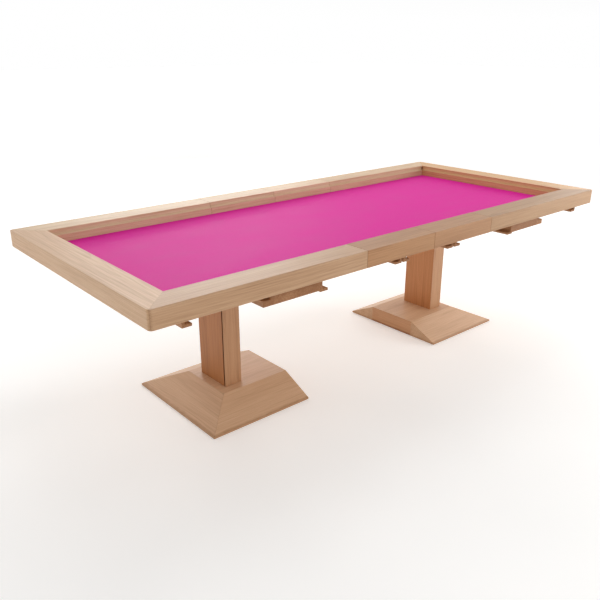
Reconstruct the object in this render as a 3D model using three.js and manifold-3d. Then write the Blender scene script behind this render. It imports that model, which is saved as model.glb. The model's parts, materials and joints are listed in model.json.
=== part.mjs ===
// Extending gaming table with a recessed playing surface, on two pedestals.
//
// Units are millimetres. The origin is on the floor, under the middle of the table. X runs along the
// table, Y across it and Z up. The left half stands at -X, the right half at +X, and leaf_1 and leaf_2
// lie between them. The front is at -Y.
import * as THREE from 'three';
import { mergeVertices } from 'three/addons/utils/BufferGeometryUtils.js';
import Module from 'manifold-3d';

const wasm = await Module();
wasm.setup();

// ---------------------------------------------------------------- driving dimensions

const TABLE = { length: 2650, width: 1190, height: 750 };
const LEAF_LENGTH = 400;
const SEAM_GAP = 0.6; // between two sections of the top
const GLUE_LINE = 0.2; // between two mitred faces

const RIM = {
  width: 116,
  height: 70,
  ledgeWidth: 12, // the ledge carries loose cover boards
  ledgeDrop: 24,
  cornerRadius: 15,
  reliefRadius: 7.5, // round relief at each inside corner of the ledge
  reliefRoof: 6, // wood left over the relief, so that the corner is sharp on top
};
const BOARD = { thickness: 12, lip: 12, clearance: 0.3 };
const CLOTH = { thickness: 2, clearance: 0.5 };

const COLUMN = { outerX: 737, innerX: 651, halfWidth: 95, wall: 20, lip: 1, slot: 6.5 };
const BASE = {
  outerX: 937, innerX: 436, halfWidth: 301, top: 83, edgeTop: 10, slopeRun: 160, innerBoard: 20,
};
const FELT = { thickness: 2, width: 30 };

const BEARER = { outerX: 849, innerX: 619, height: 45 };
const RUNNER = { width: 38, web: 11, flange: 10, height: 31.5, tallHeight: 51, setback: 24.5 };
const STRIP = { width: 33, height: 23.5 };
const END_RUNNER_X = 1202;
const LEAF_RUNNER_X = [174, 162]; // backs of the two runners under each leaf
const BATTEN = { width: 36, halfLength: 260, seamInset: 5, leafX: 340 };
const PEG = { radius: 5, length: 12, holeRadius: 5.6, holeDepth: 14 };

const SLIDE = {
  centreY: 200, // of the middle member, in front and behind
  thickness: 22,
  height: 45,
  spacing: 22.5, // from one member's centre to the next
  grooveDepth: 6.5,
  grooveHeight: 9,
  tongueDepth: 6,
  tongueHeight: 8,
  outerEnd: 1120,
  innerEnd: 20,
  middleHalfLength: 550,
};
const SLIDE_CLEARANCE = 0.5;

const ROD = { radius: 6, holeRadius: 7, nutRadius: 11, nutHeight: 10, washerRadius: 16, washerHeight: 3 };
const COUNTERBORE = { radius: 20, bottomDepth: 22, topDepth: 18 };

// Values that follow from them.
const HALF_LENGTH = TABLE.length / 2;
const HALF_WIDTH = TABLE.width / 2;
const RIM_BOTTOM = TABLE.height - RIM.height;
const LEDGE_Z = TABLE.height - RIM.ledgeDrop;
const RAIL_WIDTH = RIM.width + RIM.ledgeWidth;
const BOARD_TOP = RIM_BOTTOM + BOARD.thickness;
const BEARER_BOTTOM = RIM_BOTTOM - BEARER.height;
const RUNNER_BOTTOM = RIM_BOTTOM - RUNNER.height;
const RUNNER_HALF_LENGTH = HALF_WIDTH - RUNNER.setback;
const SLIDE_TOP = RUNNER_BOTTOM - SLIDE_CLEARANCE;
const COLUMN_X = -(COLUMN.outerX + COLUMN.innerX) / 2;

// ---------------------------------------------------------------- materials

const finish = (color, roughness, metalness = 0) => ({ color, roughness, metalness });
const FINISH = {
  rim: finish(0xd9b48c, 0.45),
  column: finish(0xc4966a, 0.5),
  base: finish(0xcfa179, 0.5),
  runner: finish(0xb98a62, 0.6),
  slide: finish(0xa87c55, 0.6),
  board: finish(0xcdb38d, 0.7),
  cloth: finish(0xd93c9b, 0.95),
  felt: finish(0x4a4038, 0.95),
  steel: finish(0x9a9ca0, 0.35, 0.9),
};

const table = new THREE.Group();

function addPiece(name, geometry, look) {
  const mesh = new THREE.Mesh(geometry, new THREE.MeshStandardMaterial(look));
  mesh.name = name;
  table.add(mesh);
}

// ---------------------------------------------------------------- shape helpers

const shapeOf = (points) => new THREE.Shape(points.map(([a, b]) => new THREE.Vector2(a, b)));

function extrude(points, depth) {
  return new THREE.ExtrudeGeometry(shapeOf(points), { depth, bevelEnabled: false, steps: 1 });
}

// A section given as [y, z] points, drawn out from x0 to x1.
function alongX(points, x0, x1) {
  const turn = new THREE.Matrix4().set(0, 0, 1, x0, 1, 0, 0, 0, 0, 1, 0, 0, 0, 0, 0, 1);
  return extrude(points, x1 - x0).applyMatrix4(turn);
}

// A section given as [x, z] points, drawn out from y0 to y1.
function alongY(points, y0, y1) {
  const turn = new THREE.Matrix4().set(0, 1, 0, 0, 0, 0, 1, y0, 1, 0, 0, 0, 0, 0, 0, 1);
  const turned = points.map(([x, z]) => [z, x]);
  return extrude(turned, y1 - y0).applyMatrix4(turn);
}

// An outline given as [x, y] points, drawn up from z0 to z1.
function alongZ(points, z0, z1) {
  return extrude(points, z1 - z0).translate(0, 0, z0);
}

function block([x0, x1], [y0, y1], [z0, z1]) {
  const geometry = new THREE.BoxGeometry(x1 - x0, y1 - y0, z1 - z0);
  return geometry.translate((x0 + x1) / 2, (y0 + y1) / 2, (z0 + z1) / 2);
}

function upright(x, y, radius, z0, z1, sides = 24) {
  const geometry = new THREE.CylinderGeometry(radius, radius, z1 - z0, sides);
  return geometry.rotateX(Math.PI / 2).translate(x, y, (z0 + z1) / 2);
}

// The same shape on the other side of the plane X = 0 or Y = 0, with its faces still pointing out.
function mirror(geometry, axis) {
  const scale = axis === 'x' ? [-1, 1, 1] : [1, -1, 1];
  const copy = (geometry.index ? geometry.toNonIndexed() : geometry.clone()).scale(...scale);
  const position = copy.getAttribute('position');
  const point = new THREE.Vector3();
  const other = new THREE.Vector3();
  for (let i = 0; i < position.count; i += 3) {
    point.fromBufferAttribute(position, i + 1);
    other.fromBufferAttribute(position, i + 2);
    position.setXYZ(i + 1, other.x, other.y, other.z);
    position.setXYZ(i + 2, point.x, point.y, point.z);
  }
  copy.computeVertexNormals();
  return copy;
}

function toSolid(geometry) {
  const bare = new THREE.BufferGeometry();
  bare.setAttribute('position', geometry.getAttribute('position'));
  bare.setIndex(geometry.index);
  const merged = mergeVertices(bare, 1e-4);
  const vertProperties = new Float32Array(merged.getAttribute('position').array);
  const triVerts = new Uint32Array(merged.index.array);
  return new wasm.Manifold(new wasm.Mesh({ numProp: 3, vertProperties, triVerts }));
}

function toGeometry(solid) {
  const mesh = solid.getMesh();
  const geometry = new THREE.BufferGeometry();
  geometry.setAttribute('position', new THREE.BufferAttribute(mesh.vertProperties, 3));
  geometry.setIndex(new THREE.BufferAttribute(mesh.triVerts, 1));
  geometry.computeVertexNormals();
  return geometry;
}

function cut(geometry, ...tools) {
  return toGeometry(tools.reduce((solid, tool) => solid.subtract(toSolid(tool)), toSolid(geometry)));
}

function join(geometry, ...others) {
  return toGeometry(others.reduce((solid, other) => solid.add(toSolid(other)), toSolid(geometry)));
}

const common = (a, b) => toGeometry(toSolid(a).intersect(toSolid(b)));

// ---------------------------------------------------------------- the rim of the top

// Section of a rail: inset is measured from the outer face, z from the floor. The step at the inner
// top is the ledge, and the step underneath takes the edge of the play board.
const RAIL_SECTION = [
  [0, RIM_BOTTOM],
  [RAIL_WIDTH - BOARD.lip * 2, RIM_BOTTOM],
  [RAIL_WIDTH - BOARD.lip * 2, BOARD_TOP],
  [RAIL_WIDTH, BOARD_TOP],
  [RAIL_WIDTH, LEDGE_Z],
  [RIM.width, LEDGE_Z],
  [RIM.width, TABLE.height],
  [0, TABLE.height],
];
const BOARD_INSET = RAIL_WIDTH - BOARD.lip * 2 + BOARD.clearance;
const CLOTH_INSET = RAIL_WIDTH + CLOTH.clearance;

function frontRail(x0, x1) {
  return alongX(RAIL_SECTION.map(([inset, z]) => [inset - HALF_WIDTH, z]), x0, x1);
}

// Points of the rounded front left corner, from one angle to another, in degrees.
function cornerArc(from, to, steps = 6) {
  const centreX = -HALF_LENGTH + RIM.cornerRadius;
  const centreY = -HALF_WIDTH + RIM.cornerRadius;
  return Array.from({ length: steps + 1 }, (_, i) => {
    const angle = THREE.MathUtils.degToRad(from + ((to - from) * i) / steps);
    return [centreX + RIM.cornerRadius * Math.cos(angle), centreY + RIM.cornerRadius * Math.sin(angle)];
  });
}

const cornerRelief = (sideY) => upright(
  -HALF_LENGTH + RIM.width, sideY * (HALF_WIDTH - RIM.width), RIM.reliefRadius,
  LEDGE_Z, TABLE.height - RIM.reliefRoof,
);

// The front rail of the left half: straight to the seam, mitred and rounded at the corner.
function mitredFrontRail() {
  const seam = -LEAF_LENGTH - SEAM_GAP / 2;
  const mitre = (inset) => [-HALF_LENGTH + inset + GLUE_LINE, -HALF_WIDTH + inset];
  const arc = cornerArc(270, 225);
  const [arcX, arcY] = arc.pop();
  const outline = [
    [seam, -HALF_WIDTH],
    ...arc,
    [arcX + GLUE_LINE, arcY],
    mitre(RAIL_WIDTH),
    [seam, -HALF_WIDTH + RAIL_WIDTH],
  ];
  const prism = alongZ(outline, RIM_BOTTOM - 1, TABLE.height + 1);
  return cut(common(frontRail(-HALF_LENGTH, seam), prism), cornerRelief(-1));
}

function endRail() {
  const halfArc = cornerArc(225, 180);
  const inner = [-HALF_LENGTH + RAIL_WIDTH, -HALF_WIDTH + RAIL_WIDTH];
  const lower = [inner, ...halfArc];
  const upper = lower.map(([x, y]) => [x, -y]).reverse();
  const prism = alongZ([...lower, ...upper], RIM_BOTTOM - 1, TABLE.height + 1);
  const section = RAIL_SECTION.map(([inset, z]) => [inset - HALF_LENGTH, z]);
  const rail = common(alongY(section, -HALF_WIDTH, HALF_WIDTH), prism);
  return cut(rail, cornerRelief(-1), cornerRelief(1));
}

function addRim() {
  const corner = mitredFrontRail();
  addPiece('front_rail_left', corner, FINISH.rim);
  addPiece('back_rail_left', mirror(corner, 'y'), FINISH.rim);
  addPiece('front_rail_right', mirror(corner, 'x'), FINISH.rim);
  addPiece('back_rail_right', mirror(mirror(corner, 'x'), 'y'), FINISH.rim);

  const end = endRail();
  addPiece('end_rail_left', end, FINISH.rim);
  addPiece('end_rail_right', mirror(end, 'x'), FINISH.rim);

  const leaf = frontRail(-LEAF_LENGTH + SEAM_GAP / 2, -SEAM_GAP / 2);
  addPiece('leaf_1_front_rail', leaf, FINISH.rim);
  addPiece('leaf_1_back_rail', mirror(leaf, 'y'), FINISH.rim);
  addPiece('leaf_2_front_rail', mirror(leaf, 'x'), FINISH.rim);
  addPiece('leaf_2_back_rail', mirror(mirror(leaf, 'x'), 'y'), FINISH.rim);
}

// ---------------------------------------------------------------- play boards and their cloth

function addPlaySurface() {
  const span = (half) => [-half, half];
  const boardY = span(HALF_WIDTH - BOARD_INSET);
  const clothY = span(HALF_WIDTH - CLOTH_INSET);
  const boardZ = [RIM_BOTTOM, BOARD_TOP];
  const clothZ = [BOARD_TOP, BOARD_TOP + CLOTH.thickness];
  const seam = -LEAF_LENGTH - SEAM_GAP / 2;
  const leafX = [-LEAF_LENGTH + SEAM_GAP / 2, -SEAM_GAP / 2];

  const halfBoard = block([-HALF_LENGTH + BOARD_INSET, seam], boardY, boardZ);
  const halfCloth = block([-HALF_LENGTH + CLOTH_INSET, seam], clothY, clothZ);
  const leafBoard = block(leafX, boardY, boardZ);
  const leafCloth = block(leafX, clothY, clothZ);
  addPiece('play_board_left', halfBoard, FINISH.board);
  addPiece('play_board_right', mirror(halfBoard, 'x'), FINISH.board);
  addPiece('leaf_1_board', leafBoard, FINISH.board);
  addPiece('leaf_2_board', mirror(leafBoard, 'x'), FINISH.board);
  addPiece('play_cloth_left', halfCloth, FINISH.cloth);
  addPiece('play_cloth_right', mirror(halfCloth, 'x'), FINISH.cloth);
  addPiece('leaf_1_cloth', leafCloth, FINISH.cloth);
  addPiece('leaf_2_cloth', mirror(leafCloth, 'x'), FINISH.cloth);
}

// ---------------------------------------------------------------- extension slides

// Each slide has three members side by side. The lane is how far a member's centre lies from the
// middle of the table: the left half's member is the outermost, the right half's the innermost.
const LANE = {
  left: SLIDE.centreY + SLIDE.spacing,
  middle: SLIDE.centreY,
  right: SLIDE.centreY - SLIDE.spacing,
};
const SLIDE_Z = [SLIDE_TOP - SLIDE.height, SLIDE_TOP];
const SLIDE_MID_Z = SLIDE_TOP - SLIDE.height / 2;

// A member with one groove along the side that faces the middle member. Its Y is that of the back
// slide, and open is +1 where the groove faces +Y.
function groovedMember(lane, open, x0, x1) {
  const side = lane + (open * SLIDE.thickness) / 2;
  const plain = lane - (open * SLIDE.thickness) / 2;
  const bottom = side - open * SLIDE.grooveDepth;
  const low = SLIDE_MID_Z - SLIDE.grooveHeight / 2;
  const high = SLIDE_MID_Z + SLIDE.grooveHeight / 2;
  const section = [
    [plain, SLIDE_Z[0]], [side, SLIDE_Z[0]], [side, low], [bottom, low],
    [bottom, high], [side, high], [side, SLIDE_Z[1]], [plain, SLIDE_Z[1]],
  ];
  return alongX(section, x0, x1);
}

// The middle member has a tongue along each side.
function tonguedMember(x0, x1) {
  const half = SLIDE.thickness / 2;
  const low = SLIDE_MID_Z - SLIDE.tongueHeight / 2;
  const high = SLIDE_MID_Z + SLIDE.tongueHeight / 2;
  const right = [
    [half, SLIDE_Z[0]], [half, low], [half + SLIDE.tongueDepth, low],
    [half + SLIDE.tongueDepth, high], [half, high], [half, SLIDE_Z[1]],
  ];
  const left = right.map(([y, z]) => [-y, z]).reverse();
  return alongX([...right, ...left].map(([y, z]) => [y + LANE.middle, z]), x0, x1);
}

const pegHole = (x, lane) => upright(x, lane, PEG.holeRadius, SLIDE_TOP - PEG.holeDepth, SLIDE_TOP + 1);

function addSlides() {
  const { outerEnd, innerEnd, middleHalfLength } = SLIDE;
  const left = cut(groovedMember(LANE.left, -1, -outerEnd, -innerEnd), pegHole(-BATTEN.leafX, LANE.left));
  const right = cut(groovedMember(LANE.right, 1, innerEnd, outerEnd), pegHole(BATTEN.leafX, LANE.right));
  const middle = tonguedMember(-middleHalfLength, middleHalfLength);
  const members = { left, middle, right };
  for (const [name, geometry] of Object.entries(members)) {
    addPiece(`slide_back_${name}`, geometry, FINISH.slide);
    addPiece(`slide_front_${name}`, mirror(geometry, 'y'), FINISH.slide);
  }
}

// Notches that let the slide members through a piece under one half. The half's own member is screwed
// to the top of its notch, and the others pass with a little clearance.
function slideNotches(x0, x1, ownLane, bottom) {
  const reach = SLIDE.thickness / 2 + 1;
  const passing = [LANE.right - reach, LANE.left + reach];
  const notches = [];
  for (const side of [-1, 1]) {
    const across = (a, b) => [Math.min(side * a, side * b), Math.max(side * a, side * b)];
    const ownSide = ownLane > LANE.middle ? [ownLane - reach, passing[1]] : [passing[0], ownLane + reach];
    const others = ownLane > LANE.middle ? [passing[0], ownSide[0]] : [ownSide[1], passing[1]];
    notches.push(block([x0, x1], across(...ownSide), [bottom, SLIDE_TOP]));
    notches.push(block([x0, x1], across(...others), [bottom, SLIDE_TOP + SLIDE_CLEARANCE]));
  }
  return notches;
}

// ---------------------------------------------------------------- what hangs under the top

// An L-shaped runner across the table. back is the X of its web's back, facing is the side that its
// flange points to, and height is measured down from the rim.
function runner(back, facing, height) {
  const bottom = RIM_BOTTOM - height;
  const web = back + facing * RUNNER.web;
  const tip = back + facing * RUNNER.width;
  const section = [
    [back, bottom], [tip, bottom], [tip, bottom + RUNNER.flange],
    [web, bottom + RUNNER.flange], [web, RIM_BOTTOM], [back, RIM_BOTTOM],
  ];
  return alongY(section, -RUNNER_HALF_LENGTH, RUNNER_HALF_LENGTH);
}

function addHalfUnderframe(name, side, ownLane) {
  const across = [-RUNNER_HALF_LENGTH, RUNNER_HALF_LENGTH];
  const ordered = (a, b) => [Math.min(side * a, side * b), Math.max(side * a, side * b)];
  const { outerX, innerX } = BEARER;

  const notchLow = RIM_BOTTOM - RUNNER.tallHeight - 1;
  const bearerX = ordered(outerX, innerX);
  const counterbore = [RIM_BOTTOM - COUNTERBORE.topDepth, RIM_BOTTOM + 1];
  const rodX = -side * COLUMN_X;
  const bearer = cut(
    block(bearerX, across, [BEARER_BOTTOM, RIM_BOTTOM]),
    upright(rodX, 0, ROD.holeRadius, BEARER_BOTTOM - 1, RIM_BOTTOM),
    upright(rodX, 0, COUNTERBORE.radius, ...counterbore),
    ...slideNotches(bearerX[0] - 1, bearerX[1] + 1, ownLane, notchLow),
  );
  addPiece(`bearer_${name}`, bearer, FINISH.runner);

  const stripX = ordered(outerX, outerX + STRIP.width);
  const strip = block(stripX, across, [BEARER_BOTTOM, BEARER_BOTTOM + STRIP.height]);
  const stripNotches = slideNotches(stripX[0] - 1, stripX[1] + 1, ownLane, notchLow);
  addPiece(`runner_outer_${name}`, cut(strip, ...stripNotches), FINISH.runner);

  const tall = runner(side * innerX, -side, RUNNER.tallHeight);
  const tallX = ordered(innerX + 1, innerX - RUNNER.width - 1);
  addPiece(`runner_inner_${name}`, cut(tall, ...slideNotches(...tallX, ownLane, notchLow)), FINISH.runner);

  addPiece(`runner_end_${name}`, runner(side * END_RUNNER_X, -side, RUNNER.height), FINISH.runner);

  const seam = LEAF_LENGTH + BATTEN.seamInset;
  const batten = block(
    ordered(seam, seam + BATTEN.width), [-BATTEN.halfLength, BATTEN.halfLength], [RUNNER_BOTTOM, RIM_BOTTOM],
  );
  addPiece(`seam_batten_${name}`, batten, FINISH.runner);
}

function addLeafUnderframe(name, side, pegLane) {
  const [outerBack, innerBack] = LEAF_RUNNER_X;
  addPiece(`${name}_outer_runner`, runner(side * outerBack, side, RUNNER.height), FINISH.runner);
  addPiece(`${name}_inner_runner`, runner(side * innerBack, -side, RUNNER.height), FINISH.runner);

  const x = side * BATTEN.leafX;
  const peg = (y) => upright(x, y, PEG.radius, RUNNER_BOTTOM - PEG.length, RUNNER_BOTTOM + 1);
  const batten = block(
    [x - BATTEN.width / 2, x + BATTEN.width / 2], [-BATTEN.halfLength, BATTEN.halfLength],
    [RUNNER_BOTTOM, RIM_BOTTOM],
  );
  addPiece(`${name}_batten`, join(batten, peg(-pegLane), peg(pegLane)), FINISH.runner);
}

// ---------------------------------------------------------------- pedestals

// Three boards mitred into a channel, open on the outer side of the table.
function columnChannel() {
  const { outerX, innerX, halfWidth, wall, lip } = COLUMN;
  const back = [
    [-innerX, halfWidth], [-outerX, halfWidth], [-outerX, halfWidth - lip],
    [-outerX + wall, halfWidth - lip - wall], [-innerX - wall, halfWidth - lip - wall],
  ];
  const front = back.map(([x, y]) => [x, -y]).reverse();
  return alongZ([...back, ...front], BASE.top, BEARER_BOTTOM);
}

// The board that closes the channel. It leaves a narrow open slot along its front edge.
function columnCover() {
  const { outerX, halfWidth, wall, lip, slot } = COLUMN;
  const front = -halfWidth + lip + slot;
  const back = halfWidth - lip - GLUE_LINE;
  const outline = [[-outerX, front], [-outerX + wall, front + wall], [-outerX + wall, back - wall], [-outerX, back]];
  return alongZ(outline, BASE.top, BEARER_BOTTOM);
}

// The tie rod pulls the base, the column and the bearer together.
function tieRod() {
  const bottom = FELT.thickness + COUNTERBORE.bottomDepth;
  const top = RIM_BOTTOM - COUNTERBORE.topDepth;
  const stack = (seat, away) => {
    const washer = [seat, seat + away * ROD.washerHeight].sort((a, b) => a - b);
    const nutStart = seat + away * (ROD.washerHeight - 0.5);
    const nut = [nutStart, nutStart + away * ROD.nutHeight].sort((a, b) => a - b);
    return [
      upright(COLUMN_X, 0, ROD.washerRadius, ...washer),
      upright(COLUMN_X, 0, ROD.nutRadius, ...nut, 6),
    ];
  };
  const end = ROD.washerHeight + ROD.nutHeight + 2;
  const rod = upright(COLUMN_X, 0, ROD.radius, bottom - end, top + end);
  return join(rod, ...stack(bottom, -1), ...stack(top, 1));
}

// A solid with eight corners: four around one end and the matching four around the other.
function wedge(first, second) {
  const corners = [...first, ...second].flat();
  const quads = [[0, 1, 2, 3], [7, 6, 5, 4], [1, 0, 4, 5], [2, 1, 5, 6], [3, 2, 6, 7], [0, 3, 7, 4]];
  const geometry = new THREE.BufferGeometry();
  geometry.setAttribute('position', new THREE.Float32BufferAttribute(corners, 3));
  geometry.setIndex(quads.flatMap(([a, b, c, d]) => [a, b, c, a, c, d]));
  const flat = geometry.toNonIndexed();
  flat.computeVertexNormals();
  return flat;
}

function baseFrontWedge() {
  const { outerX, innerX, halfWidth, top, edgeTop, slopeRun } = BASE;
  const bottom = FELT.thickness;
  const flatY = -halfWidth + slopeRun;
  const flatX = -outerX + slopeRun + GLUE_LINE;
  const edgeX = -outerX + GLUE_LINE;
  return wedge(
    [[-innerX, flatY, bottom], [-innerX, flatY, top], [-innerX, -halfWidth, edgeTop], [-innerX, -halfWidth, bottom]],
    [[flatX, flatY, bottom], [flatX, flatY, top], [edgeX, -halfWidth, edgeTop], [edgeX, -halfWidth, bottom]],
  );
}

function baseOuterWedge() {
  const { outerX, halfWidth, top, edgeTop, slopeRun } = BASE;
  const bottom = FELT.thickness;
  const flatX = -outerX + slopeRun;
  const ends = [-1, 1].map((side) => {
    const flatY = side * (halfWidth - slopeRun);
    const edgeY = side * halfWidth;
    return [[flatX, flatY, bottom], [flatX, flatY, top], [-outerX, edgeY, edgeTop], [-outerX, edgeY, bottom]];
  });
  return wedge(...ends);
}

function baseCore() {
  const { outerX, innerX, halfWidth, top, slopeRun, innerBoard } = BASE;
  const bottom = FELT.thickness;
  const half = halfWidth - slopeRun;
  const mitre = innerBoard + GLUE_LINE;
  const section = [
    [-outerX + slopeRun, bottom], [-innerX - mitre, bottom], [-innerX - mitre, top - mitre],
    [-innerX, top], [-outerX + slopeRun, top],
  ];
  return cut(
    alongY(section, -half, half),
    upright(COLUMN_X, 0, ROD.holeRadius, bottom, top + 1),
    upright(COLUMN_X, 0, COUNTERBORE.radius, bottom - 1, bottom + COUNTERBORE.bottomDepth),
  );
}

// The board across the inner end of the core, mitred to it along the top edge.
function baseInnerBoard() {
  const { innerX, halfWidth, top, slopeRun, innerBoard } = BASE;
  const bottom = FELT.thickness;
  const half = halfWidth - slopeRun;
  const edge = top - GLUE_LINE;
  const section = [
    [-innerX - innerBoard, bottom], [-innerX, bottom], [-innerX, edge], [-innerX - innerBoard, edge - innerBoard],
  ];
  return alongY(section, -half, half);
}

function feltStrip(x, halfLength) {
  return block([x - FELT.width / 2, x + FELT.width / 2], [-halfLength, halfLength], [0, FELT.thickness]);
}

function addPedestals() {
  const frontWedge = baseFrontWedge();
  const pieces = [
    ['column', columnChannel(), FINISH.column],
    ['column_cover', columnCover(), FINISH.column],
    ['tie_rod', tieRod(), FINISH.steel],
    ['base_core', baseCore(), FINISH.base],
    ['base_inner_board', baseInnerBoard(), FINISH.base],
    ['base_front_wedge', frontWedge, FINISH.base],
    ['base_back_wedge', mirror(frontWedge, 'y'), FINISH.base],
    ['base_outer_wedge', baseOuterWedge(), FINISH.base],
    ['felt_outer', feltStrip(-BASE.outerX + 42, 240), FINISH.felt],
    ['felt_inner', feltStrip(-BASE.innerX - 25, 280), FINISH.felt],
  ];
  for (const [name, geometry, look] of pieces) {
    addPiece(`${name}_left`, geometry, look);
    addPiece(`${name}_right`, mirror(geometry, 'x'), look);
  }
}

// ---------------------------------------------------------------- the table

addRim();
addPlaySurface();
addSlides();
addHalfUnderframe('left', -1, LANE.left);
addHalfUnderframe('right', 1, LANE.right);
addLeafUnderframe('leaf_1', -1, LANE.left);
addLeafUnderframe('leaf_2', 1, LANE.right);
addPedestals();

export default table;
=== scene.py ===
"""Extending gaming table: the looks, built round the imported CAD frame.

Metres, in the frame shared with the CAD: the origin is on the floor under the middle of the table, X
runs along it, the front is at -Y and Z is up. Every wooden part is a copy of its CAD node with eased
edges, and each point of it carries its place in its own board, which the wood material turns into grain.
"""

import json
import math

import bmesh
import bpy
import numpy as np
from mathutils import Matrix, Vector


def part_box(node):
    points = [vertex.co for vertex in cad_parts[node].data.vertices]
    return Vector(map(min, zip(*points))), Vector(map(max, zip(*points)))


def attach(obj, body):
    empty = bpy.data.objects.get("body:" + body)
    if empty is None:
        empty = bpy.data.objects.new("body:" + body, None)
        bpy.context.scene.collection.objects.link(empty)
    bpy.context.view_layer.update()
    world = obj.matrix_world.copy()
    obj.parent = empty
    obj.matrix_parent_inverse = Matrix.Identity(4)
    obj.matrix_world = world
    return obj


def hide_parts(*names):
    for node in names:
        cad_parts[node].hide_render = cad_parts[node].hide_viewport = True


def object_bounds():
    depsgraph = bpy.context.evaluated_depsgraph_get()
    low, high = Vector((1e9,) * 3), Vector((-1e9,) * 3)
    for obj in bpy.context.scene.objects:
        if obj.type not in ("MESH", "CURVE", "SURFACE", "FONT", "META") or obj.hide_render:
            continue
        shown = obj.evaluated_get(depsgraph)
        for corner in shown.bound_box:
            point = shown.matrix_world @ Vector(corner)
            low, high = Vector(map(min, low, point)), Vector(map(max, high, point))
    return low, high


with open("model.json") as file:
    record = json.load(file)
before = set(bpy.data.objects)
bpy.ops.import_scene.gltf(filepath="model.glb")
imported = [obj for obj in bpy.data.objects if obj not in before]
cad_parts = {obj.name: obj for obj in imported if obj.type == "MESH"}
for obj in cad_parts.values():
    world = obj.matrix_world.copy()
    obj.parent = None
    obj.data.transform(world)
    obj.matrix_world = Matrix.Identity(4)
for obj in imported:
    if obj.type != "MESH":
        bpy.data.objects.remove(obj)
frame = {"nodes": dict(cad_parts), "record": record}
CAD_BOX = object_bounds()

MM = 0.001
X, Y, Z = 0, 1, 2
RECORD = frame["record"]
BODY_OF = {node: body for body, nodes in RECORD["behaviour"]["bodies"].items() for node in nodes}
SLOT_OF = {part["node"]: part["material_slot"] for part in RECORD["subparts"]}

# Places taken from the frame.
HALF_LENGTH = CAD_BOX[1].x
HALF_WIDTH = CAD_BOX[1].y
TOP_Z = CAD_BOX[1].z
LEAF_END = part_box("leaf_2_front_rail")[1].x

# How far edges are rounded. LARGEST_EASE is the bevel's full width, which an edge takes its share of.
SHARP_ANGLE = math.radians(20)
RIM_EASE = 2.6 * MM
LEDGE_EASE = 1.5 * MM
UNDERFRAME_EASE = 1.2 * MM
SLIDE_EASE = 0.8 * MM
SEAM_EASE = 0.7 * MM
WEDGE_EASE = 0.5 * MM
COVER_EASE = 0.5 * MM
FELT_EASE = 0.4 * MM
CORE_EASE = 0.35 * MM
PLY_EASE = 0.3 * MM
CLOTH_EASE = 0.25 * MM
GLUE_EASE = 0.25 * MM
LARGEST_EASE = RIM_EASE
EASE_STEPS = 3

# Where two sections of the top meet, a groove shows as a hairline, and nearly closes further in.
GROOVE_DRAW_BACK = 0.35 * MM
GROOVE_DEPTH = 3 * MM
GROOVE_REACH = 0.27 * MM
SQUARE_ON = 0.99  # the least share of a face's normal that points along the table at a rail's end

ONE_PIECE_ANGLE = math.radians(0.5)  # faces within this angle of each other are one flat face
SAME_POINT = 0.01 * MM


# ---------------------------------------------------------------- node graphs


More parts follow.
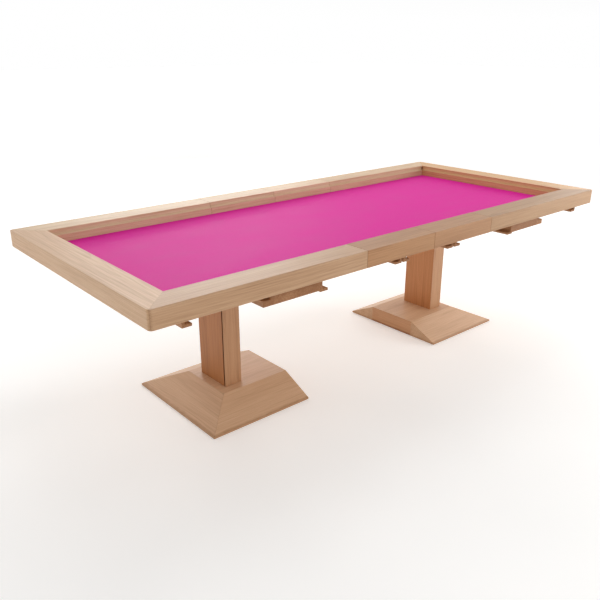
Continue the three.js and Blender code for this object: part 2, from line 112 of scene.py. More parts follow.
class Graph:
    """The nodes of a material or a world. Each call adds a few nodes and gives back their output."""

    def __init__(self, owner):
        self.owner = owner
        self.owner.use_nodes = True
        self.tree = self.owner.node_tree
        self.tree.nodes.clear()

    def node(self, kind, inputs=None, **settings):
        node = self.tree.nodes.new(kind)
        for key, value in settings.items():
            setattr(node, key, value)
        for key, value in (inputs or {}).items():
            if isinstance(value, bpy.types.NodeSocket):
                self.tree.links.new(value, node.inputs[key])
            else:
                node.inputs[key].default_value = value
        return node

    def math(self, operation, *values):
        return self.node("ShaderNodeMath", dict(enumerate(values)), operation=operation).outputs[0]

    def vector(self, operation, *values):
        return self.node("ShaderNodeVectorMath", dict(enumerate(values)), operation=operation).outputs[0]

    def split(self, vector):
        return self.node("ShaderNodeSeparateXYZ", {0: vector}).outputs

    def join(self, x, y, z):
        return self.node("ShaderNodeCombineXYZ", {0: x, 1: y, 2: z}).outputs[0]

    def attribute(self, name):
        return self.node("ShaderNodeAttribute", attribute_name=name)

    def position(self):
        return self.node("ShaderNodeTexCoord").outputs["Object"]

    def noise(self, place, repeats, detail=2.0, roughness=0.5):
        """Noise from 0 to 1 whose lumps repeat so many times a metre along each axis of place."""
        scaled = self.vector("MULTIPLY", place, repeats)
        inputs = {"Vector": scaled, "Scale": 1.0, "Detail": detail, "Roughness": roughness}
        return self.node("ShaderNodeTexNoise", inputs).outputs[0]

    def chances(self, number):
        """Three random numbers from 0 to 1 that belong to a whole number."""
        white_noise = self.node("ShaderNodeTexWhiteNoise", {"W": number}, noise_dimensions="1D")
        return self.split(white_noise.outputs["Color"])

    def span(self, value, low, high, to_low=0.0, to_high=1.0):
        inputs = {"Value": value, "From Min": low, "From Max": high, "To Min": to_low, "To Max": to_high}
        return self.node("ShaderNodeMapRange", inputs).outputs[0]

    def around(self, value, share):
        """A value from 0 to 1, as a swing of that share either side of 0."""
        return self.math("MULTIPLY_ADD", value, 2 * share, -share)

    def distance(self, first, second):
        """The length of the diagonal over these two sides."""
        squares = self.math("MULTIPLY_ADD", first, first, self.math("MULTIPLY", second, second))
        return self.math("SQRT", squares)

    def total(self, first, *others):
        for other in others:
            first = self.math("ADD", first, other)
        return first

    def ramp(self, value, *stops):
        node = self.node("ShaderNodeValToRGB", {0: value})
        elements = node.color_ramp.elements
        while len(elements) < len(stops):
            elements.new(0.5)
        for element, (place, colour) in zip(elements, stops):
            element.position = place
            element.color = (*colour, 1.0)
        return node.outputs[0]

    def mix(self, share, first, second):
        node = self.node("ShaderNodeMix", {0: share}, data_type="RGBA")
        for socket, value in ((node.inputs[6], first), (node.inputs[7], second)):
            if isinstance(value, bpy.types.NodeSocket):
                self.tree.links.new(value, socket)
            else:
                socket.default_value = (*value, 1.0)
        return node.outputs[2]

    def bump(self, height, strength, distance):
        inputs = {"Height": height, "Strength": strength, "Distance": distance}
        return self.node("ShaderNodeBump", inputs).outputs[0]

    def surface(self, **inputs):
        """The Principled shader, with inputs named as its sockets are but with _ for spaces."""
        named = {key.replace("_", " "): value for key, value in inputs.items()}
        shader = self.node("ShaderNodeBsdfPrincipled", named)
        output = self.node("ShaderNodeOutputMaterial")
        self.tree.links.new(shader.outputs[0], output.inputs[0])
        return self.owner


def linear(red, green, blue):
    """An sRGB colour of 0 to 255 as the linear numbers that shaders take."""

    def decoded(level):
        share = level / 255
        return share / 12.92 if level <= 10 else ((share + 0.055) / 1.055) ** 2.4

    return tuple(decoded(level) for level in (red, green, blue))


# ---------------------------------------------------------------- materials

# How often each figure in the wood repeats in a metre: along the board, across its face, and through it.
RINGS_PER_METRE = 190.0
SWAY_REPEATS = (0.9, 2.5, 2.5)
WAVE_REPEATS = (3.2, 14.0, 14.0)
BROAD_REPEATS = (0.8, 16.0, 16.0)
STREAK_REPEATS = (4.2, 150.0, 150.0)
FIBRE_REPEATS = (9.0, 620.0, 620.0)
RAY_REPEATS = (230.0, 1250.0, 520.0)
# The ragged upper edge of the painted shade near the floor.
FLOOR_SHADE_REPEATS = (22.0, 22.0, 60.0)

# How far each figure moves the tone at full contrast, where 0 is the deepest and 1 the palest.
LATE_WOOD_TONE = -0.34
EARLY_WOOD_TONE = 0.1
BROAD_TONE = 0.22
STREAK_TONE = 0.34
FIBRE_TONE = 0.2
STAVE_TONE = 0.12
END_TONE = -0.42
FLECK_SHARE = 0.3

# Shares of a board's own red, green and blue. Darker wood is redder wood.
DEEP_SHARES = (0.62, 0.52, 0.42)
PALE_SHARES = (1.22, 1.34, 1.48)

# In metres: how far the tree's sway and the waves of its rings move a ring, how far the pith lies to one
# side and behind the board, and how far along the tree one stave may be cut from another.
SWAY = 0.05
WAVE = 0.004
PITH_ASIDE = 0.05
PITH_DEPTH = 0.045
PITH_DEPTH_SPREAD = 0.09
STAVE_SHIFT = 9.0

# The painted shade at the foot of the bases fades out between these heights.
FLOOR_SHADE_LOW = 6 * MM
FLOOR_SHADE_HIGH = 13 * MM

PLY_LAYER = 1.72 * MM
PLY_BOARD_HALF = 6 * MM

WARP_THREADS = 1900.0  # radians a metre
WEFT_THREADS = 1976.0


def wood(name, colour, stave, contrast=1.0, roughness=0.44, end_tone=END_TONE, floor_shade=False):
    """Solid beech, read from the grain attribute: growth rings about a pith outside the board, fine
    fibres and broad streaks along the grain, and the short dark flecks of the rays. With floor_shade
    it carries painted shade, darker in the last few millimetres above the floor, where contact shade
    falls."""
    g = Graph(bpy.data.materials.new(name))
    grain = g.attribute("grain").outputs["Vector"]
    end = g.attribute("end_grain").outputs["Fac"]
    along, across, through = g.split(grain)

    # Staves glued edge to edge, each cut from another place in the tree.
    stave_number = g.math("ROUND", g.math("DIVIDE", across, stave))
    in_stave = g.math("MULTIPLY_ADD", stave_number, -stave, across)
    chance_a, chance_b, chance_c = g.chances(stave_number)
    place = g.join(g.math("MULTIPLY_ADD", chance_a, STAVE_SHIFT, along), in_stave, through)

    sway = g.around(g.noise(place, SWAY_REPEATS, 1.0), SWAY)
    wave = g.around(g.noise(place, WAVE_REPEATS, 2.0), WAVE)
    side = g.total(in_stave, g.around(chance_b, PITH_ASIDE), sway)
    pith_depth = g.math("MULTIPLY_ADD", chance_c, PITH_DEPTH_SPREAD, PITH_DEPTH)
    depth = g.total(through, pith_depth, g.math("MULTIPLY", sway, 0.6))
    radius = g.total(g.distance(side, depth), wave)
    ring = g.math("FRACT", g.math("MULTIPLY", radius, RINGS_PER_METRE))
    late_wood = g.math("MULTIPLY", g.math("POWER", ring, 2.2), g.span(ring, 1.0, 0.9))

    broad = g.span(g.noise(place, BROAD_REPEATS, 2.0), 0.3, 0.7)
    streak = g.span(g.noise(place, STREAK_REPEATS, 3.0, 0.62), 0.28, 0.72)
    fibre = g.span(g.noise(place, FIBRE_REPEATS, 2.0, 0.6), 0.25, 0.75)
    ray_place = g.vector("MULTIPLY", place, RAY_REPEATS)
    rays = g.node("ShaderNodeTexVoronoi", {"Vector": ray_place, "Scale": 1.0}).outputs["Distance"]
    fleck = g.math("MULTIPLY", g.span(rays, 0.34, 0.2), g.span(broad, 0.2, 0.7))

    tone = g.total(
        g.math("MULTIPLY_ADD", late_wood, LATE_WOOD_TONE * contrast, 0.5 + EARLY_WOOD_TONE * contrast),
        g.around(broad, BROAD_TONE * contrast),
        g.around(streak, STREAK_TONE * contrast),
        g.around(fibre, FIBRE_TONE * contrast),
        g.around(chance_a, STAVE_TONE * contrast),
        g.math("MULTIPLY", end, end_tone),
    )
    deep = tuple(c * share for c, share in zip(colour, DEEP_SHARES))
    pale = tuple(min(1.0, c * share) for c, share in zip(colour, PALE_SHARES))
    figure = g.ramp(tone, (0.0, deep), (0.5, colour), (1.0, pale))
    base = g.mix(g.math("MULTIPLY", fleck, FLECK_SHARE), figure, deep)
    # Painted shade: the wood is darkened towards the floor, standing in for the contact shade there, with
    # a ragged upper edge.
    if floor_shade:
        height_above_floor = g.split(g.position())[2]
        shade_edge_noise = g.noise(g.position(), FLOOR_SHADE_REPEATS, 3.0, 0.6)
        uneven_height = g.math("MULTIPLY_ADD", shade_edge_noise, -FLOOR_SHADE_LOW, height_above_floor)
        base = g.mix(g.span(uneven_height, FLOOR_SHADE_LOW, FLOOR_SHADE_HIGH), deep, base)
    gloss = g.total(g.math("MULTIPLY_ADD", fibre, 0.12, roughness - 0.06), g.math("MULTIPLY", end, 0.12))
    height = g.total(fibre, g.math("MULTIPLY", fleck, -0.6), g.math("MULTIPLY", late_wood, 0.25))
    return g.surface(
        Base_Color=base, Roughness=gloss, Normal=g.bump(height, 0.2, 0.1 * MM), Specular_IOR_Level=0.35,
    )


def plywood(name, face, core):
    """Plywood: thin layers whose grain turns a quarter from one to the next, seen on the edges."""
    g = Graph(bpy.data.materials.new(name))
    along, across, through = g.split(g.attribute("grain").outputs["Vector"])
    layers_up = g.math("DIVIDE", g.math("ADD", through, PLY_BOARD_HALF), PLY_LAYER)
    layer = g.math("FLOOR", layers_up)
    turned = g.math("GREATER_THAN", g.math("MODULO", layer, 2.0), 0.5)
    lengthwise = g.noise(g.join(along, across, layer), (2.2, 38.0, 3.1), 3.0, 0.6)
    crosswise = g.noise(g.join(along, across, layer), (38.0, 2.2, 3.1), 3.0, 0.6)
    figure = g.mix(turned, lengthwise_colour(g, lengthwise, face), lengthwise_colour(g, crosswise, core))
    from_layer_middle = g.math("ABSOLUTE", g.math("SUBTRACT", g.math("FRACT", layers_up), 0.5))
    glue = g.span(from_layer_middle, 0.44, 0.5, 0.0, 0.55)
    return g.surface(
        Base_Color=g.mix(glue, figure, core), Roughness=g.span(lengthwise, 0.2, 0.8, 0.6, 0.78),
        Normal=g.bump(lengthwise, 0.2, 0.15 * MM),
    )


def lengthwise_colour(graph, figure, colour):
    """The colour of one layer, darker where its figure is."""
    darker = tuple(0.78 * c for c in colour)
    return graph.mix(graph.span(figure, 0.3, 0.75), darker, colour)


def baize(name, colour):
    """Napped woven cloth: a fine weave under a short nap, brushed a little unevenly."""
    g = Graph(bpy.data.materials.new(name))
    place = g.position()
    x, y, _ = g.split(place)
    warp = g.math("SINE", g.math("MULTIPLY", x, WARP_THREADS))
    weft = g.math("SINE", g.math("MULTIPLY", y, WEFT_THREADS))
    weave = g.math("MULTIPLY", warp, weft)
    nap = g.noise(place, (850.0, 850.0, 850.0), 3.0, 0.7)
    brushed = g.noise(place, (5.0, 14.0, 1.0), 3.0, 0.55)
    specks = g.noise(place, (260.0, 260.0, 260.0), 2.0, 0.6)
    tone = g.total(
        g.around(nap, 0.22), g.around(brushed, 0.10), g.around(specks, 0.16),
        g.math("MULTIPLY_ADD", weave, 0.05, 0.5),
    )
    dark = tuple(0.78 * c for c in colour)
    light = tuple(min(1.0, 1.16 * c + 0.012) for c in colour)
    base = g.ramp(tone, (0.15, dark), (0.5, colour), (0.85, light))
    height = g.total(nap, g.math("MULTIPLY", weave, 0.3), specks)
    return g.surface(
        Base_Color=base, Roughness=g.span(brushed, 0.2, 0.8, 0.5, 0.6),
        Normal=g.bump(height, 0.5, 0.35 * MM),
        Sheen_Weight=0.02, Sheen_Roughness=0.4, Sheen_Tint=(1.0, 0.4, 0.75, 1.0), Specular_IOR_Level=0.08,
    )


def felt(name, colour):
    """Pressed wool: fine hairs in soft clumps."""
    g = Graph(bpy.data.materials.new(name))
    place = g.position()
    hairs = g.noise(place, (900.0, 900.0, 900.0), 4.0, 0.7)
    clumps = g.noise(place, (70.0, 70.0, 70.0), 3.0, 0.6)
    tone = g.total(g.math("MULTIPLY", hairs, 0.6), g.math("MULTIPLY", clumps, 0.4))
    dark = tuple(0.55 * c for c in colour)
    light = tuple(1.35 * c for c in colour)
    return g.surface(
        Base_Color=g.ramp(tone, (0.25, dark), (0.75, light)), Roughness=g.span(hairs, 0.2, 0.8, 0.85, 1.0),
        Normal=g.bump(tone, 0.8, 0.6 * MM), Sheen_Weight=0.3,
    )


def plated_steel(name):
    """Zinc plate: a soft bloom, and fine scratches round the rod."""
    g = Graph(bpy.data.materials.new(name))
    place = g.position()
    bloom = g.noise(place, (60.0, 60.0, 60.0), 3.0, 0.6)
    scratches = g.noise(place, (900.0, 900.0, 120.0), 2.0, 0.6)
    colour = g.ramp(bloom, (0.3, linear(150, 150, 148)), (0.7, linear(192, 190, 182)))
    return g.surface(
        Base_Color=colour, Metallic=1.0, Roughness=g.span(scratches, 0.2, 0.8, 0.28, 0.46),
        Normal=g.bump(scratches, 0.15, 0.1 * MM),
    )


# Widths of the staves that boards are glued up from. A board narrower than ONE_STAVE has no glue line.
COLUMN_STAVE = 0.0634
BASE_STAVE = 0.0942
ONE_STAVE = 0.2

RIM_CONTRAST = 0.55
COLUMN_CONTRAST = 0.5
BASE_CONTRAST = 0.36
BASE_INNER_CONTRAST = 0.4
UNDERFRAME_CONTRAST = 0.6
BASE_END_TONE = -0.3
BASE_INNER_END_TONE = -0.1

MATERIALS = {
    "rim_wood": wood("rim_wood", linear(187, 148, 113), ONE_STAVE, RIM_CONTRAST),
    "column_wood": wood("column_wood", linear(191, 144, 106), COLUMN_STAVE, COLUMN_CONTRAST),
    # The bases carry painted shade near the floor.
    "base_wood": wood(
        "base_wood", linear(220, 182, 147), BASE_STAVE, BASE_CONTRAST,
        end_tone=BASE_END_TONE, floor_shade=True,
    ),
    "underframe_wood": wood(
        "underframe_wood", linear(178, 131, 92), ONE_STAVE, UNDERFRAME_CONTRAST, roughness=0.5,
    ),
    "slide_wood": wood("slide_wood", linear(140, 100, 68), ONE_STAVE, UNDERFRAME_CONTRAST, roughness=0.45),
    "board_ply": plywood("board_ply", linear(206, 176, 134), linear(150, 112, 76)),
    "play_cloth": baize("play_cloth", linear(218, 28, 151)),
    "felt": felt("felt", linear(74, 62, 54)),
    "steel": plated_steel("steel"),
}

# Boards whose colour is set apart from the rest in their slot, as in the photo: painted light and shade,
# darker for boards whose faces lie in shade and lighter for those that catch more light.
RIM_LIT_AND_SHADED_COLOURS = {
    "front_rail_right": (173, 134, 97),
    "leaf_1_front_rail": (174, 127, 86),
    "leaf_2_front_rail": (172, 126, 87),
    "back_rail_left": (213, 182, 146),
    "back_rail_right": (209, 176, 139),
    "leaf_1_back_rail": (212, 181, 145),
    "leaf_2_back_rail": (211, 178, 142),
    "end_rail_left": (208, 169, 132),
    "end_rail_right": (216, 171, 120),
}
# Painted shade on the columns: covers and inner boards deeper and darker than the column wood, the left
# cover most, where their faces lie in shade.
COLUMN_LIT_AND_SHADED_COLOURS = {
    "column_cover_left": (177, 115, 66),
    "column_cover_right": (192, 132, 84),
    "column_left_inner_board": (192, 134, 88),
    "column_right_inner_board": (196, 131, 81),
}
# Painted shade: the inner board of each base is darker than the rest of the base, as its face lies in
# shade under the top.
BASE_INNER_SHADED_COLOUR = (190, 138, 97)
# Lit and shaded copies of the wood, one for each board above: painted light and shade.
BOARD_LIT_AND_SHADED_WOODS = {
    **{
        node: wood(f"{node}_wood", linear(*colour), ONE_STAVE, RIM_CONTRAST)
        for node, colour in RIM_LIT_AND_SHADED_COLOURS.items()
    },
    **{
        name: wood(f"{name}_wood", linear(*colour), COLUMN_STAVE, COLUMN_CONTRAST)
        for name, colour in COLUMN_LIT_AND_SHADED_COLOURS.items()
    },
    **{
        # The inner boards also carry the painted shade near the floor.
        f"base_inner_board_{side}": wood(
            f"base_inner_{side}_wood", linear(*BASE_INNER_SHADED_COLOUR), ONE_STAVE, BASE_INNER_CONTRAST,
            end_tone=BASE_INNER_END_TONE, floor_shade=True,
        )
        for side in ("left", "right")
    },
}


# ---------------------------------------------------------------- mesh helpers


def shape_of(node):
    """The node's solid as a bmesh, with its flat faces in one piece each."""
    shape = bmesh.new()
    shape.from_mesh(frame["nodes"][node].data)
    bmesh.ops.remove_doubles(shape, verts=shape.verts, dist=SAME_POINT)
    bmesh.ops.dissolve_limit(shape, angle_limit=ONE_PIECE_ANGLE, verts=shape.verts, edges=shape.edges)
    return shape


def cut_away(mesh, point, outward):
    """Takes off what lies beyond the plane and closes the cut."""
    shape = bmesh.new()
    shape.from_mesh(mesh)
    everything = shape.verts[:] + shape.edges[:] + shape.faces[:]
    found = bmesh.ops.bisect_plane(
        shape, geom=everything, plane_co=point, plane_no=outward, clear_outer=True,
    )
    cut_edges = [element for element in found["geom_cut"] if isinstance(element, bmesh.types.BMEdge)]
    bmesh.ops.edgeloop_fill(shape, edges=cut_edges)
    bmesh.ops.recalc_face_normals(shape, faces=shape.faces)
    shape.to_mesh(mesh)
    shape.free()


def rounded(shape, name, ease):
    """A mesh with each sharp outer edge rounded by ease(edge), in metres."""
    weights = shape.edges.layers.float.new("bevel_weight_edge")
    for edge in shape.edges:
        if len(edge.link_faces) == 2 and edge.is_convex and edge.calc_face_angle() > SHARP_ANGLE:
            edge[weights] = ease(edge) / LARGEST_EASE
    sharp = bpy.data.meshes.new(name + "_sharp")
    shape.to_mesh(sharp)
    shape.free()
    holder = bpy.data.objects.new("holder", sharp)
    bpy.context.scene.collection.objects.link(holder)
    bevel = holder.modifiers.new("ease", "BEVEL")
    bevel.limit_method = "WEIGHT"
    bevel.width = LARGEST_EASE
    bevel.segments = EASE_STEPS
    bevel.use_clamp_overlap = False
    graph = bpy.context.evaluated_depsgraph_get()
    mesh = bpy.data.meshes.new_from_object(holder.evaluated_get(graph))
    mesh.name = name
    bpy.data.objects.remove(holder)
    bpy.data.meshes.remove(sharp)
    return mesh


def smooth(piece, angle=40):
    """Soft shading over rounded edges, with the flat faces kept flat."""
    piece.data.shade_smooth()
    piece.data.set_sharp_from_angle(angle=math.radians(angle))
    normals = piece.modifiers.new("weighted_normals", "WEIGHTED_NORMAL")
    normals.keep_sharp = True


def add_piece(name, mesh, node, material=None):
    """Puts the mesh in the scene in the place of a CAD node."""
    piece = bpy.data.objects.new(name, mesh)
    bpy.context.scene.collection.objects.link(piece)
    mesh.materials.clear()
    mesh.materials.append(material or MATERIALS[SLOT_OF[node]])
    smooth(piece)
    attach(piece, BODY_OF[node])
    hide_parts(node)
    return piece


class Boards:
    """Counts the boards, so that each is cut from its own stretch of wood."""

    made = 0
    STEP_ALONG = 1.37  # metres from one board's stretch of grain to the next one's
    STEP_STAVES = 7

    @classmethod
    def lay(cls, mesh, along, across, stave):
        """Gives each point its place in its board: along the grain, across the face, and through it."""
        cls.made += 1
        points = np.empty(len(mesh.vertices) * 3, np.float32)
        mesh.vertices.foreach_get("co", points)
        points = points.reshape(-1, 3)
        middle = (points.min(0) + points.max(0)) / 2
        grain = (points - middle)[:, [along, across, 3 - along - across]]
        grain[:, 0] += cls.made * cls.STEP_ALONG
        grain[:, 1] += cls.made * cls.STEP_STAVES * stave
        mesh.attributes.new("grain", "FLOAT_VECTOR", "POINT").data.foreach_set("vector", grain.ravel())

        normals = np.empty(len(mesh.polygons) * 3, np.float32)
        mesh.polygons.foreach_get("normal", normals)
        end = normals.reshape(-1, 3)[:, along] ** 2
        mesh.attributes.new("end_grain", "FLOAT", "FACE").data.foreach_set("value", end)


def at_seam(x):
    """Whether two sections of the top meet at this place along it."""
    return abs(x) < MM or abs(abs(x) - LEAF_END) < MM


def groove_seams(shape, node):
    """Draws back the outline of each rail end that lies at a seam, and moves the rest of it forward."""
    low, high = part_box(node)
    middle = (low.x + high.x) / 2
    shape.normal_update()
    ends = [
        face for face in shape.faces
        if abs(face.normal.x) > SQUARE_ON and at_seam(face.calc_center_median().x)
    ]
    bmesh.ops.inset_region(shape, faces=ends, thickness=GROOVE_DEPTH, use_even_offset=True)
    inside = {vertex for face in ends for vertex in face.verts}
    for vertex in shape.verts:
        if at_seam(vertex.co.x):
            outward = math.copysign(1.0, vertex.co.x - middle)
            vertex.co.x += outward * (GROOVE_REACH if vertex in inside else -GROOVE_DRAW_BACK)


def add_board(node, along, across, ease, stave=ONE_STAVE, name=None, cuts=()):
    """A board finished from a CAD node: its edges eased, then cut at planes of (point, outward)."""
    name = name or f"{node}_finished"
    shape = shape_of(node)
    if "_rail" in node:
        groove_seams(shape, node)
    mesh = rounded(shape, name, ease if callable(ease) else lambda edge: ease)
    for point, outward in cuts:
        cut_away(mesh, point, outward)
    Boards.lay(mesh, along, across, stave)
    return add_piece(name, mesh, node, BOARD_LIT_AND_SHADED_WOODS.get(name) or BOARD_LIT_AND_SHADED_WOODS.get(node))


# ---------------------------------------------------------------- the top


def rail_ease(edge):
    """Rails are rounded along their length, and hardly at all where they meet another."""
    points = [v.co for v in edge.verts]
    if all(at_seam(p.x) for p in points):
        return SEAM_EASE
    if all(abs((HALF_LENGTH - abs(p.x)) - (HALF_WIDTH - abs(p.y))) < MM for p in points):
        return GLUE_EASE
    if all(p.z > TOP_Z - MM for p in points):
        return RIM_EASE
    return LEDGE_EASE


def add_top():
    for node in sorted(frame["nodes"]):
        if node.startswith("end_rail"):
            add_board(node, Y, X, rail_ease)
        elif "_rail" in node:
            add_board(node, X, Y, rail_ease)
        elif "board" in node and SLOT_OF[node] == "board_ply":
            add_board(node, X, Y, PLY_EASE)


CLOTH_CELL = 16 * MM
CLOTH_FLAT_EDGE = 4 * CLOTH_CELL  # the swell fades out over this width
CLOTH_SWELL = 0.12 * MM
SWELL_WAVES = ((11, 3, 0), (-4, 9, 1))  # radians a metre along X and along Y, and where the wave starts
CLOTH_REACH = 0.4 * MM  # how far a sheet goes past its CAD edge at a seam, so that no gap shows


def add_cloth(node):
    """A sheet laid flat on its board: it swells a little, and its cut edges are soft."""
    low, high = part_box(node)
    if at_seam(high.x):
        high.x += CLOTH_REACH
    if at_seam(low.x):
        low.x -= CLOTH_REACH
    columns = round((high.x - low.x) / CLOTH_CELL)
    rows = round((high.y - low.y) / CLOTH_CELL)
    shape = bmesh.new()

    def height(x, y):
        inside = min(high.x - x, x - low.x, high.y - y, y - low.y)
        swell = min(1.0, inside / CLOTH_FLAT_EDGE)
        for along_x, along_y, start in SWELL_WAVES:
            swell *= math.sin(along_x * x + along_y * y + start)
        return high.z - CLOTH_SWELL + CLOTH_SWELL * swell

    def grid(level):
        return [
            [shape.verts.new((x, y, level(x, y)))
             for y in np.linspace(low.y, high.y, rows + 1)]
            for x in np.linspace(low.x, high.x, columns + 1)
        ]

    top = grid(height)
    bottom = grid(lambda x, y: low.z)
    for i in range(columns):
        for j in range(rows):
            shape.faces.new((top[i][j], top[i + 1][j], top[i + 1][j + 1], top[i][j + 1]))
            shape.faces.new((bottom[i][j + 1], bottom[i + 1][j + 1], bottom[i + 1][j], bottom[i][j]))
    for i in range(columns):
        shape.faces.new((bottom[i][0], bottom[i + 1][0], top[i + 1][0], top[i][0]))
        shape.faces.new((top[i][-1], top[i + 1][-1], bottom[i + 1][-1], bottom[i][-1]))
    for j in range(rows):
        shape.faces.new((top[0][j], top[0][j + 1], bottom[0][j + 1], bottom[0][j]))
        shape.faces.new((bottom[-1][j], bottom[-1][j + 1], top[-1][j + 1], top[-1][j]))
    bmesh.ops.recalc_face_normals(shape, faces=shape.faces)
    mesh = rounded(shape, f"{node}_baize", lambda edge: CLOTH_EASE)
    sheet = add_piece(f"{node}_baize", mesh, node)


# ---------------------------------------------------------------- what hangs under the top


def add_underframe():
    for node in sorted(frame["nodes"]):
        if node.startswith(("bearer", "runner")) or "_runner" in node or "batten" in node:
            add_board(node, Y, X, UNDERFRAME_EASE)
        elif node.startswith("slide"):
            add_board(node, X, Z, SLIDE_EASE)


# ---------------------------------------------------------------- pedestals

INNER_ARRIS = 1.4 * MM
OUTER_ARRIS = 0.7 * MM
UPRIGHT_EDGE = 100 * MM  # edges of a column that rise more than this are its arrises
HAIRLINE = 0.06 * MM  # on each side of a mitre


def add_column(side, inward):
    """Three upright boards mitred to each other, and the cover board on the outer side. inward is the
    sign of the direction from this column to the middle of the table."""
    node = f"column_{side}"
    low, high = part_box(node)
    inner_x, outer_x = (high.x, low.x) if inward > 0 else (low.x, high.x)

    def ease(edge):
        start, end = (v.co for v in edge.verts)
        on_face = abs(abs(start.y) - high.y) < MM / 2
        if abs(start.z - end.z) > UPRIGHT_EDGE and on_face:
            return INNER_ARRIS if abs(start.x - inner_x) < MM else OUTER_ARRIS
        return GLUE_EASE

    mitres = []
    for y_side, place in ((-1, "front"), (1, "back")):
        corner = Vector((inner_x, y_side * high.y, 0))
        to_inner = Vector((inward, -y_side, 0)).normalized()
        mitres.append((corner + to_inner * HAIRLINE, -to_inner))
        arm = [(corner - to_inner * HAIRLINE, to_inner)]
        add_board(node, Z, X, ease, COLUMN_STAVE, f"column_{side}_{place}_board", arm)
    add_board(node, Z, Y, ease, COLUMN_STAVE, f"column_{side}_inner_board", mitres)
    add_board(f"column_cover_{side}", Z, Y, COVER_EASE, COLUMN_STAVE)


def add_base(side):
    add_board(f"base_core_{side}", X, Y, CORE_EASE, BASE_STAVE)
    add_board(f"base_inner_board_{side}", Y, Z, CORE_EASE)
    add_board(f"base_outer_wedge_{side}", Y, X, WEDGE_EASE, BASE_STAVE)
    for place in ("front", "back"):
        add_board(f"base_{place}_wedge_{side}", X, Y, WEDGE_EASE, BASE_STAVE)


def add_felts(side):
    for place in ("outer", "inner"):
        node = f"felt_{place}_{side}"
        mesh = rounded(shape_of(node), f"{node}_strip", lambda edge: FELT_EASE)
        add_piece(f"{node}_strip", mesh, node)


def add_rod(side):
    rod = frame["nodes"][f"tie_rod_{side}"]
    rod.data.materials.clear()
    rod.data.materials.append(MATERIALS["steel"])


# ---------------------------------------------------------------- the studio


HORIZON_LIGHT = 1.0
# Heights on the sphere of directions where the white horizon starts to fade and where it ends.
HORIZON_START = 0.03
HORIZON_END = 0.3
HORIZON_BLEND = 0.2
SKY_PATCHES = ((0, 0.45), (60, 0.95), (120, 0.75), (215, 0.3), (300, 0.68))  # azimuth in degrees, strength
SKY_PATCH_RISE = math.radians(20)
SKY_PATCH_FALL = 3.0

FLOOR_HALF = 40.0
# The floor glows more from the first to the second of these distances from its middle.
FLOOR_GLOW_START = 2.5
FLOOR_GLOW_END = 7.0
FLOOR_GLOW_NEAR = 0.3
FLOOR_GLOW_FAR = 0.52

SOFTBOXES = (
    # name, place, target, width, height, watts
    ("glare_softbox", (2.25, 5.2, 2.5), (0, 0, 0.72), 3.0, 1.1, 38),
    ("back_softbox", (1.6, 3.2, 3.4), (0, 0, 0.7), 2.4, 1.4, 37),
    ("front_softbox", (0.3, -3.0, 3.0), (0, 0.3, 0.7), 2.4, 1.0, 22),
    ("top_softbox", (0.5, 0.6, 3.6), (0.3, 0, 0.7), 2.2, 1.6, 17),
    ("right_front_softbox", (2.5, -1.6, 0.9), (1.1, -0.3, 0.45), 1.0, 0.8, 14),
    ("right_softbox", (4.2, 0.4, 2.2), (0.6, -0.2, 0.2), 1.2, 1.2, 18),
    ("left_softbox", (-2.5, 2.0, 1.0), (-1.3, 0.5, 0.7), 0.9, 0.8, 6),
)

SENSOR_WIDTH = 36.0
FOCAL_LENGTH = 39.957
CAMERA_PLACE = (-2.1625, -2.2569, 1.4803)
CAMERA_TILT = math.radians(68.90)  # from looking straight down
CAMERA_TURN = math.radians(-40.60)  # from looking along +Y


def add_floor():
    """A pale floor that glows more with distance, so that it meets the white horizon."""
    mesh = bpy.data.meshes.new("floor")
    corners = [(x * FLOOR_HALF, y * FLOOR_HALF, 0) for x, y in ((-1, -1), (1, -1), (1, 1), (-1, 1))]
    mesh.from_pydata(corners, [], [(0, 1, 2, 3)])
    floor = bpy.data.objects.new("floor", mesh)
    bpy.context.scene.collection.objects.link(floor)
    g = Graph(bpy.data.materials.new("pale_floor"))
    mottle = g.noise(g.position(), (1.5, 1.5, 1.5), 3.0)
    colour = g.ramp(mottle, (0.3, linear(238, 237, 235)), (0.7, linear(243, 242, 240)))
    x, y, _ = g.split(g.position())
    glow = g.span(g.distance(x, y), FLOOR_GLOW_START, FLOOR_GLOW_END, FLOOR_GLOW_NEAR, FLOOR_GLOW_FAR)
    mesh.materials.append(g.surface(
        Base_Color=colour, Roughness=0.85, Specular_IOR_Level=0.1,
        Emission_Color=(1.0, 1.0, 1.0, 1.0), Emission_Strength=glow,
    ))


def add_softbox(name, place, target, width, height, watts):
    lamp = bpy.data.lights.new(name, "AREA")
    lamp.shape = "RECTANGLE"
    lamp.size = width
    lamp.size_y = height
    lamp.energy = watts
    holder = bpy.data.objects.new(name, lamp)
    holder.location = place
    holder.rotation_euler = (Vector(target) - Vector(place)).to_track_quat("-Z", "Y").to_euler()
    bpy.context.scene.collection.objects.link(holder)


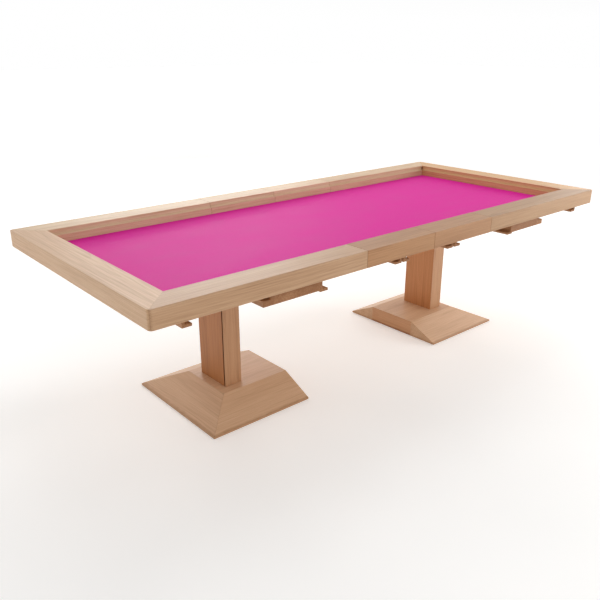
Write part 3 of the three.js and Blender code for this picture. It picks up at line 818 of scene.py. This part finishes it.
def add_sky():
    """A white horizon that fades, higher up, into soft patches of light from several directions."""
    world = bpy.data.worlds.new("studio")
    g = Graph(world)
    direction = g.node("ShaderNodeTexCoord").outputs["Generated"]
    patches = 0.0
    for azimuth, strength in SKY_PATCHES:
        turn = math.radians(azimuth)
        level = math.cos(SKY_PATCH_RISE)
        axis = (level * math.cos(turn), level * math.sin(turn), math.sin(SKY_PATCH_RISE))
        towards = g.node("ShaderNodeVectorMath", {0: direction, 1: axis}, operation="DOT_PRODUCT")
        patch = g.math("POWER", g.math("MAXIMUM", towards.outputs["Value"], 0.0), SKY_PATCH_FALL)
        patches = g.math("MULTIPLY_ADD", patch, strength, patches)
    risen = g.span(g.split(direction)[2], HORIZON_START, HORIZON_END)
    smooth_rise = g.math("SMOOTH_MIN", risen, 1.0, HORIZON_BLEND)
    horizon = g.math("MULTIPLY", g.math("SUBTRACT", 1.0, smooth_rise), HORIZON_LIGHT)
    brightness = g.math("MULTIPLY_ADD", patches, smooth_rise, horizon)
    background = g.node("ShaderNodeBackground", {"Color": (1.0, 1.0, 1.0, 1.0), "Strength": brightness})
    output = g.node("ShaderNodeOutputWorld")
    g.tree.links.new(background.outputs[0], output.inputs[0])
    bpy.context.scene.world = world


def add_light():
    add_sky()
    for softbox in SOFTBOXES:
        add_softbox(*softbox)
    view = bpy.context.scene.view_settings
    view.view_transform = "Standard"
    view.look = "None"


def add_camera():
    """Stands off the front left corner, at about the eye height of someone standing."""
    lens = bpy.data.cameras.new("camera")
    lens.sensor_width = SENSOR_WIDTH
    lens.lens = FOCAL_LENGTH
    holder = bpy.data.objects.new("camera", lens)
    holder.location = CAMERA_PLACE
    holder.rotation_euler = (CAMERA_TILT, 0.0, CAMERA_TURN)
    bpy.context.scene.collection.objects.link(holder)
    bpy.context.scene.camera = holder


# ---------------------------------------------------------------- the table

add_camera()
add_floor()
add_light()
add_top()
for cloth in ("play_cloth_left", "play_cloth_right", "leaf_1_cloth", "leaf_2_cloth"):
    add_cloth(cloth)
add_underframe()
for side_name, inward_sign in (("left", 1), ("right", -1)):
    add_column(side_name, inward_sign)
    add_base(side_name)
    add_felts(side_name)
    add_rod(side_name)
